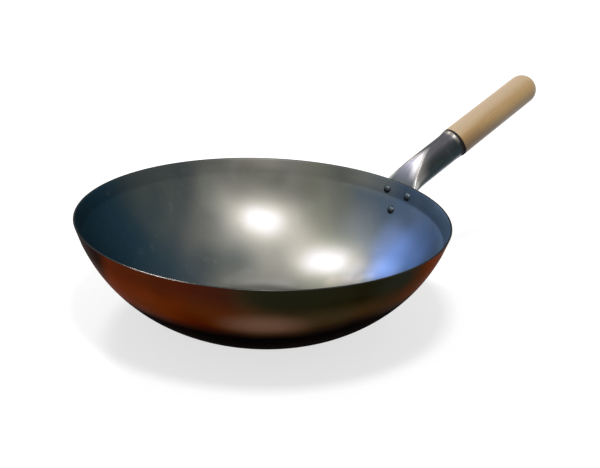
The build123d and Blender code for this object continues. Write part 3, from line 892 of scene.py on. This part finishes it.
def rounded_corner(before, corner, after, radius, count):
    """The arc that rounds the corner of two straight lines, as points."""
    back = Vector((before[0] - corner[0], before[1] - corner[1])).normalized()
    on = Vector((after[0] - corner[0], after[1] - corner[1])).normalized()
    half = back.angle(on) / 2
    centre = Vector(corner) + (back + on).normalized() * radius / sin(half)
    start = Vector(corner) + back * radius / tan(half) - centre
    end = Vector(corner) + on * radius / tan(half) - centre
    turn = pi - 2 * half
    points = []
    for n in range(count + 1):
        mixed = start * sin(turn * (1 - n / count)) + end * sin(turn * n / count)
        points.append(tuple(centre + mixed / sin(turn)))
    return points


class SocketForm:
    """The socket's outer side, over the flat blank that it is rolled and pressed from.

    The blank's columns run round the tube from the right edge of the seam over the top to the left edge.
    Its rows run from the mouth to the bowl, and past it down the tongue, which has only the columns between
    the ridges.
    """

    top_columns, ridge_columns, side_columns = 14, 12, 24
    tube_rows, press_rows, throat_rows, tongue_rows = 22, 20, 34, 30
    last_ring = -0.0015  # where the last whole ring lies, a little inside the rim's radius
    ridge_reach = 1.1  # half the length round a ridge that has the ridge's columns, in ridge radii
    ring_start = 0.0022  # the least length of the top beside the ridge's columns
    least_side = 0.0009  # the least length of steel under a ridge
    side_gap = 0.0003  # between the bowl and the socket's sides, past the tongue
    ridge_search, root_search = 44, 26  # halvings
    top_steps, ridge_steps, side_steps, tube_steps = 30, 16, 100, 150  # of half a ring
    edge_blend, column_blend = 0.12, 0.3  # the tongue's share in which it leaves the root's shape
    throat_crowding, last_pull = 1.5, 4  # powers that crowd the throat's rows and draw the last to the bowl

    def __init__(self, scene):
        self.bowl, self.handle, self.sizes = scene.wok_bowl, scene.wok_handle, scene.wok_socket
        self.section = BowlSection(self.bowl)
        self.place = handle_matrix()
        self.tube = self.handle.socket_radius
        self.rings = {}
        rivets, sizes = scene.wok_rivets, self.sizes
        half_width = rivets.spacing / 2 + sizes.tongue_margin
        bend_height = self.bowl.depth - sizes.bend_drop
        bend_radius = self.section.outer_radius(bend_height)
        ridge = Vector((sqrt(bend_radius**2 - half_width**2), 0, bend_height))
        ridge = self.place.inverted() @ ridge
        self.splay_radius = rounding_radius(sizes.splay_start - ridge.z, half_width - self.tube)
        self.press_radius = rounding_radius(sizes.press_start - ridge.z, self.tube - ridge.y)
        self.flare_radius = rounding_radius(self.handle.flare_length, self.handle.mouth_radius - self.tube)
        shoulder = self.bowl.depth - rivets.upper_drop - sizes.tongue_shoulder
        tip = self.bowl.depth - rivets.lower_drop - sizes.tip_round
        corners = [(half_width, self.bowl.depth), (half_width, shoulder), (sizes.tip_round, tip), (0.0, tip)]
        tip_arc = rounded_corner(*corners[1:], sizes.tip_round, 14)
        self.tip_start = tip_arc[0]
        self.outline = joined(
            [corners[0]], rounded_corner(*corners[:3], sizes.shoulder_round, 10), tip_arc
        )
        self.ridge_end = self.top_columns + self.ridge_columns
        self.columns = self.ridge_end + self.side_columns
        self.tongue_columns = self.ridge_end - 4
        self.throat_row = self.tube_rows + self.press_rows
        self.root_row = self.throat_row + self.throat_rows
        self.rows = self.root_row + self.tongue_rows
        self.roots = [self.root_point(column) for column in range(self.columns + 1)]
        reached = [0.0]
        for point, after in zip(self.roots, self.roots[1 : self.tongue_columns + 1]):
            reached.append(reached[-1] + (after - point).length)
        self.root_shares = [length / reached[-1] for length in reached]

    def tube_radius(self, along):
        """The tube's outer radius at a distance from the root, with the flare at its mouth."""
        run = max(along - (self.handle.socket_length - self.handle.flare_length), 0.0)
        return self.tube + self.flare_radius - sqrt(self.flare_radius**2 - run**2)

    def throat_height(self, along):
        """The height of the throat's edge, or the underside of the tube where the throat hasn't started."""
        if along >= self.sizes.throat_start:
            return -self.tube
        radius, lean = self.sizes.throat_radius, self.sizes.throat_angle
        centre = (self.sizes.throat_start + radius * sin(lean), radius * cos(lean) - self.tube)
        return centre[1] - sqrt(radius**2 - (along - centre[0]) ** 2)

    def pressed_half_ring(self, along):
        """Half a ring where the top is pressed, and the length from its top to the ridge's middle."""
        run = max(self.sizes.splay_start - along, 0.0)
        wide, high = self.tube + self.splay_radius - sqrt(self.splay_radius**2 - run**2), self.tube
        run = self.sizes.press_start - along
        height = high - self.press_radius + sqrt(self.press_radius**2 - run**2)
        corner = wide * sqrt(1 - (height / high) ** 2)
        hollow, rounding = self.sizes.hollow_radius, self.sizes.ridge_radius
        hollow_centre = height + sqrt(hollow**2 - corner**2)
        low, up = -pi / 2, asin(height / high)
        for _ in range(self.ridge_search):
            turned = (low + up) / 2
            inwards = Vector((-cos(turned) / wide, -sin(turned) / high)).normalized()
            touch = Vector((wide * cos(turned), high * sin(turned)))
            centre = touch + inwards * rounding
            if hypot(centre.x, centre.y - hollow_centre) > hollow + rounding:
                low = turned
            else:
                up = turned
        away = Vector((centre.x, centre.y - hollow_centre)).normalized()
        first = Vector((0, hollow_centre)) + away * hollow
        start = atan2(first.y - centre.y, first.x - centre.x)
        end = atan2(touch.y - centre.y, touch.x - centre.x)
        reaches = [first.x * n / self.top_steps for n in range(self.top_steps + 1)]
        top = [(x, hollow_centre - sqrt(hollow**2 - x**2)) for x in reaches]
        turns = [turned + (-pi / 2 - turned) * n / self.side_steps for n in range(self.side_steps + 1)]
        side = [(wide * cos(turn), high * sin(turn)) for turn in turns]
        return (
            joined(top, arc(centre, rounding, start, end, self.ridge_steps), side),
            line_lengths(top)[-1] + rounding * abs(end - start) / 2,
        )

    def half_ring(self, along):
        """Half a ring from its top over a ridge to its lowest point, its lengths, and the ridge's length."""
        key = round(along, 7)
        if key not in self.rings:
            if along >= self.sizes.press_start - 1e-6:
                points = arc((0, 0), self.tube_radius(along), pi / 2, -pi / 2, self.tube_steps)
                ridge = 0.0
            else:
                points, ridge = self.pressed_half_ring(along)
            self.rings[key] = points, line_lengths(points), ridge
        return self.rings[key]

    def edge_length(self, along, points, lengths, least):
        """How far down the half ring the sheet's cut edge is, at the seam or at the open throat."""
        height = self.throat_height(along)
        seam = lengths[-1] - self.sizes.seam_width / 2
        if height <= -self.tube + 1e-9:
            return seam
        for n in range(len(points) - 1, 0, -1):
            if points[n - 1][1] > height:
                share = (height - points[n][1]) / (points[n - 1][1] - points[n][1])
                edge = lengths[n] - share * (lengths[n] - lengths[n - 1])
                return max(min(edge, seam), least)
        return least

    def outer_point(self, along, column):
        """The outer side's point in the handle's frame, on the left half, by distance and column."""
        points, lengths, ridge = self.half_ring(along)
        reach = self.ridge_reach * self.sizes.ridge_radius
        inner = max(ridge - reach, self.ring_start)
        outer = inner + 2 * reach
        edge = self.edge_length(along, points, lengths, outer + self.least_side)
        if column <= self.top_columns:
            wanted = inner * column / self.top_columns
        elif column <= self.ridge_end:
            wanted = inner + (outer - inner) * (column - self.top_columns) / self.ridge_columns
        else:
            wanted = outer + (edge - outer) * (column - self.ridge_end) / self.side_columns
        return Vector((*at_length(points, lengths, wanted), along))

    def root_point(self, column):
        """Where a column's line, drawn on straight from the last ring, meets the bowl's outside."""
        end = self.outer_point(self.last_ring, column)
        clear = SHEET_GAP if column <= self.tongue_columns else self.side_gap
        inside, outside = -0.03, 0.006
        for _ in range(self.root_search):
            middle = (inside + outside) / 2
            world = self.place @ Vector((end.x, end.y, middle))
            if hypot(world.x, world.y) - self.section.outer_radius(world.z, clear) > 0:
                outside = middle
            else:
                inside = middle
        return Vector((end.x, end.y, outside))

    def tongue_point(self, column, row):
        """A point of the tongue in the world, on the left half."""
        share = row / self.tongue_rows
        root, edge = self.place @ self.roots[column], self.place @ self.roots[self.tongue_columns]
        part = self.root_shares[column]
        end = crossing(self.outline, 0, part * self.tip_start[0])
        edge_height = edge.z + (self.tip_start[1] - edge.z) * share
        half_width = crossing(self.outline, 1, edge_height)[0]
        half_width = edge.y + (half_width - edge.y) * min(1.0, share / self.edge_blend)
        across = root.y + (part * half_width - root.y) * min(1.0, share / self.column_blend)
        height = root.z + (end[1] - root.z) * share
        radius = self.section.outer_radius(height, SHEET_GAP)
        return Vector((sqrt(radius**2 - across**2), across, height))

    def ring_point(self, column, row):
        """A point of the tube or its pressed part in the handle's frame, on the left half."""
        press_start, throat_start = self.sizes.press_start, self.sizes.throat_start
        if row <= self.tube_rows:
            mouth, slant = self.handle.socket_length - self.sizes.mouth_setback, tan(self.sizes.mouth_slant)
            point = self.outer_point(press_start, column)
            for _ in range(3):
                reach = mouth - (self.handle.mouth_radius - point.y) * slant - press_start
                point = self.outer_point(press_start + (1 - row / self.tube_rows) * reach, column)
        elif row <= self.throat_row:
            share = (row - self.tube_rows) / self.press_rows
            point = self.outer_point(press_start + share * (throat_start - press_start), column)
        else:
            share = ((row - self.throat_row) / self.throat_rows) ** self.throat_crowding
            point = self.outer_point(throat_start + share * (self.last_ring - throat_start), column)
            point.z += share**self.last_pull * (self.roots[column].z - self.last_ring)
        return point

    def vertex(self, column, row):
        """Where the blank's vertex at a column, counted from the top, and a row goes in the world."""
        if row > self.root_row:
            point = self.tongue_point(abs(column), row - self.root_row)
        else:
            point = self.place @ self.ring_point(abs(column), row)
        if column < 0:
            point.y = -point.y
        return point


class WOK_OT_socket(bpy.types.Operator):
    """Rolls and presses the socket from a flat blank, thickens the sheet and rounds its cut edges"""

    bl_idname = "wok.socket"
    bl_label = "Press the handle socket"

    def execute(self, context):
        form = SocketForm(context.scene)
        across, down = 2 * form.columns, form.rows
        socket = start_primitive(
            bpy.ops.mesh.primitive_grid_add, x_subdivisions=across, y_subdivisions=down, size=1.0
        )
        blank = socket.data
        if len(blank.vertices) != (across + 1) * (down + 1):
            raise RuntimeError("the blank's grid has another number of vertices than planned")
        bpy.ops.object.mode_set(mode="EDIT")
        bpy.ops.mesh.select_all(action="DESELECT")
        bpy.ops.object.mode_set(mode="OBJECT")
        for vertex in blank.vertices:
            column = round((vertex.co.x + 0.5) * across) - form.columns
            row = round((vertex.co.y + 0.5) * down)
            vertex.select = row > form.root_row and abs(column) > form.tongue_columns
            if not vertex.select:
                vertex.co = form.vertex(column, row)
        bpy.ops.object.mode_set(mode="EDIT")
        bpy.ops.mesh.delete(type="VERT")
        bpy.ops.mesh.select_all(action="SELECT")
        bpy.ops.mesh.remove_doubles(threshold=2 * MERGE)
        bpy.ops.object.mode_set(mode="OBJECT")
        sheet = socket.modifiers.new("Sheet", "SOLIDIFY")
        sheet.thickness = context.scene.wok_handle.socket_sheet
        sheet.offset = -1
        sheet.use_quality_normals = True
        bpy.ops.object.modifier_apply(modifier=sheet.name)
        edges = socket.modifiers.new("Edges", "BEVEL")
        edges.width = context.scene.wok_socket.edge_round
        edges.segments = 2
        edges.limit_method = "ANGLE"
        edges.angle_limit = radians(50)
        bpy.ops.object.modifier_apply(modifier=edges.name)
        finish_piece(socket, "pressed_socket", "handle_socket", [socket_steel()])
        return {"FINISHED"}


def rivet_places(section, sizes, depth):
    """The three rivets' frames: Z points out of the bowl's outside at each rivet."""
    places = {}
    for node, drop, aside in (
        ("rivet_left", sizes.upper_drop, sizes.spacing / 2),
        ("rivet_right", sizes.upper_drop, -sizes.spacing / 2),
        ("rivet_lower", sizes.lower_drop, 0.0),
    ):
        height = depth - drop
        radius = section.outer_radius(height)
        if height > section.band_foot[1]:
            facing = section.sizes.band_slope - pi / 2
        else:
            facing = asin((height - section.wall_centre[1]) / section.sizes.wall_radius)
        turn = asin(aside / radius)
        out = Vector((cos(facing) * cos(turn), cos(facing) * sin(turn), sin(facing)))
        across = Vector((-sin(turn), cos(turn), 0))
        origin = (radius * cos(turn), radius * sin(turn), height)
        places[node] = placed(across, out.cross(across), out, origin)
    return places


def crown_line(radius, edge, top):
    """A round head's crown in section, from its edge to its top on the axis."""
    crown_radius = rounding_radius(radius, abs(top - edge))
    facing = 1 if top > edge else -1
    half = asin(radius / crown_radius)
    line = arc((0, 0), crown_radius, pi / 2 - half, pi / 2, 8)
    return [(x, top - facing * (crown_radius - y)) for x, y in line]


class WOK_OT_rivets(bpy.types.Operator):
    """Turns one rivet and sets copies of it in their three places"""

    bl_idname = "wok.rivets"
    bl_label = "Set the rivets"

    def execute(self, context):
        bowl, sizes = context.scene.wok_bowl, context.scene.wok_rivets
        inner_seat = -bowl.sheet - SEAT_GAP
        outer_seat = context.scene.wok_handle.socket_sheet + SHEET_GAP + SEAT_GAP
        inner_edge, outer_edge = inner_seat - sizes.edge, outer_seat + sizes.edge
        soft = 0.00025  # the chamfer of a head's edge
        line = joined(
            crown_line(sizes.inner_radius - soft, inner_edge, inner_seat - sizes.inner_height)[::-1],
            [(sizes.inner_radius, inner_edge + soft), (sizes.inner_radius, inner_seat)],
            [(sizes.shank_radius, inner_seat), (sizes.shank_radius, outer_seat)],
            [(sizes.outer_radius, outer_seat), (sizes.outer_radius, outer_edge - soft)],
            crown_line(sizes.outer_radius - soft, outer_edge, outer_seat + sizes.outer_height),
        )
        places = rivet_places(BowlSection(bowl), sizes, bowl.depth)
        rivets = [turn_on_lathe(line, 40)]
        for _ in range(len(places) - 1):
            copy = rivets[0].copy()
            copy.data = rivets[0].data.copy()
            context.collection.objects.link(copy)
            rivets.append(copy)
        steel = rivet_steel("Rivet steel")
        for rivet, (node, place) in zip(rivets, places.items()):
            put_in_place(rivet, place)
            finish_piece(rivet, node.replace("rivet", "set_rivet"), node, [steel])
        return {"FINISHED"}


class WOK_OT_grip(bpy.types.Operator):
    """Turns the wooden grip with its tenon and its domed end"""

    bl_idname = "wok.grip"
    bl_label = "Turn the wooden grip"

    def execute(self, context):
        handle = context.scene.wok_handle
        chamfer, edge = 0.0015, 0.0006  # of the tenon's end and of the shoulder
        shoulder_gap = 0.0003  # between the socket's mouth line and the shoulder
        tenon_radius = handle.socket_radius - handle.socket_sheet - FIT_GAP
        shoulder = handle.socket_length + shoulder_gap
        dome_start = shoulder + handle.grip_length - handle.grip_end_radius
        flare_start = handle.socket_length - handle.flare_length
        flare_radius = rounding_radius(handle.flare_length, handle.mouth_radius - handle.socket_radius)
        inset_radius = flare_radius + handle.socket_sheet + FIT_GAP
        sweep = asin(handle.flare_length / inset_radius)
        collar = arc((handle.socket_radius + flare_radius, flare_start), inset_radius, pi, pi - sweep, 6)
        line = joined(
            stretch((0, handle.tenon_start), (tenon_radius - chamfer, handle.tenon_start), 3),
            [(tenon_radius, handle.tenon_start + chamfer)],
            collar,
            [(collar[-1][0], shoulder), (handle.grip_root_radius - edge, shoulder)],
            arc((handle.grip_root_radius - edge, shoulder + edge), edge, -pi / 2, 0, 4),
            stretch((handle.grip_root_radius, shoulder + edge), (handle.grip_end_radius, dome_start), 12),
            arc((0, dome_start), handle.grip_end_radius, 0, pi / 2, 16),
        )
        grip = turn_on_lathe(line, 96)
        put_in_place(grip, handle_matrix())
        finish_piece(grip, "turned_grip", "wooden_grip", [grip_wood()], 40)
        return {"FINISHED"}


class WOK_OT_nail(bpy.types.Operator):
    """Makes the nail that keeps the grip in the socket"""

    bl_idname = "wok.nail"
    bl_label = "Drive the nail"

    def execute(self, context):
        handle = context.scene.wok_handle
        shank, head, seat, top = 0.0011, 0.0027, SEAT_GAP, 0.0009
        line = [
            (0, -0.013), (shank, -0.0106), (shank, -0.005), (shank, seat),
            (head, seat), (head, seat + 0.0004), (head - 0.00012, seat + 0.00062), (head - 0.0004, top),
            (head * 0.5, top - 0.00006), (0, top - 0.00012),
        ]
        nail = turn_on_lathe(line, 32)
        out = Vector((sin(handle.nail_angle), -cos(handle.nail_angle), 0))
        along = Vector((0, 0, 1))
        radius, height = handle.socket_radius, handle.socket_length - handle.nail_setback
        origin = (radius * out.x, radius * out.y, height)
        put_in_place(nail, handle_matrix() @ placed(along, out.cross(along), out, origin))
        finish_piece(nail, "driven_nail", "grip_nail", [rivet_steel("Nail steel")])
        return {"FINISHED"}


def soft_lamp(name, place, aim, power):
    """A square soft lamp that points at aim."""
    light = bpy.data.lights.new(name, "AREA")
    light.size = LAMP_WIDTH
    light.energy = power
    lamp = bpy.data.objects.new(name, light)
    lamp.location = place
    lamp.rotation_euler = (Vector(aim) - Vector(place)).to_track_quat("-Z", "Y").to_euler()
    bpy.context.collection.objects.link(lamp)


def seen_rays(at):
    """1 for rays from the camera, from shiny surfaces and through clear ones, and 0 for all others."""
    path = at.node("ShaderNodeLightPath", {}).outputs
    return at.most(path["Is Camera Ray"], path["Is Glossy Ray"], path["Is Transmission Ray"])


class WOK_OT_stage(bpy.types.Operator):
    """Lays the pale floor and sets the lamps, the world and the camera"""

    bl_idname = "wok.stage"
    bl_label = "Set the stage"

    def execute(self, context):
        scene = context.scene
        sizes = scene.wok_stage
        floor = start_primitive(bpy.ops.mesh.primitive_plane_add, size=sizes.floor_size, location=(0, 0, 0))
        floor.name = "floor"
        bpy.ops.object.mode_set(mode="EDIT")
        bpy.ops.mesh.select_all(action="SELECT")
        bpy.ops.transform.translate(value=(0, 0, -FLOOR_DROP))
        bpy.ops.object.mode_set(mode="OBJECT")
        material, at, shader = new_material("Pale floor", 0.0, 0.85)
        place = at.position()
        pale = sizes.floor_colour
        far = at.range(at.vector("LENGTH", place), 0.25, 0.8, 0.70, 0.98)  # it fades into the white world
        at.feed(shader, {
            "Base Color": at.lay(blend(pale, 0.985), pale, (at.noise(place, 6.0), 0.3, 0.7)),
            "Emission Color": WHITE,
            "Emission Strength": at.times(seen_rays(at), far),
        })
        floor.data.materials.append(material)

        world = bpy.data.worlds.new("Plain studio")
        scene.world = world
        world.use_nodes = True
        sky = Shading(world.node_tree)
        strength = sky.range(seen_rays(sky), 0.0, 1.0, sizes.world_light, 1.0, smooth=False)
        sky.feed(world.node_tree.nodes["Background"], {"Color": WHITE, "Strength": strength})

        for name, (place, aim, power) in LAMPS.items():
            soft_lamp(name, place, aim, power)

        camera = bpy.data.cameras.new("Camera")
        camera.lens = sizes.lens
        camera.sensor_width = SENSOR_WIDTH
        camera.clip_start = 0.01
        view = bpy.data.objects.new("Camera", camera)
        view.matrix_world = placed(CAMERA_RIGHT, CAMERA_UP, CAMERA_RIGHT.cross(CAMERA_UP), CAMERA_PLACE)
        context.collection.objects.link(view)
        scene.camera = view
        scene.view_settings.view_transform = "Standard"
        return {"FINISHED"}


class WOK_PT_pieces(bpy.types.Panel):
    """Lists the wok's pieces and their sizes in the 3D view's sidebar"""

    bl_idname = "WOK_PT_pieces"
    bl_label = "Carbon steel wok"
    bl_space_type = "VIEW_3D"
    bl_region_type = "UI"
    bl_category = "Wok"

    def draw(self, context):
        for operator in PIECE_OPERATORS:
            self.layout.operator(operator.bl_idname)
        for name in GROUPS:
            box = self.layout.box()
            group = getattr(context.scene, name)
            for key in group.bl_rna.properties.keys():
                if key not in ("rna_type", "name"):
                    box.prop(group, key)


PIECE_OPERATORS = (WOK_OT_bowl, WOK_OT_socket, WOK_OT_rivets, WOK_OT_grip, WOK_OT_nail, WOK_OT_stage)
GROUPS = {
    "wok_bowl": BowlSizes,
    "wok_handle": HandleSizes,
    "wok_socket": SocketSizes,
    "wok_rivets": RivetSizes,
    "wok_colours": WokColours,
    "wok_stage": StageSizes,
}
CLASSES = (*GROUPS.values(), *PIECE_OPERATORS, WOK_PT_pieces)


def register():
    for made in CLASSES:
        bpy.utils.register_class(made)
    for name, group in GROUPS.items():
        setattr(bpy.types.Scene, name, PointerProperty(type=group))


def unregister():
    for name in GROUPS:
        delattr(bpy.types.Scene, name)
    for made in reversed(CLASSES):
        bpy.utils.unregister_class(made)


def main():
    register()
    bpy.ops.wok.bowl()
    bpy.ops.wok.socket()
    bpy.ops.wok.rivets()
    bpy.ops.wok.grip()
    bpy.ops.wok.nail()
    bpy.ops.wok.stage()


if __name__ == "__main__":
    main()
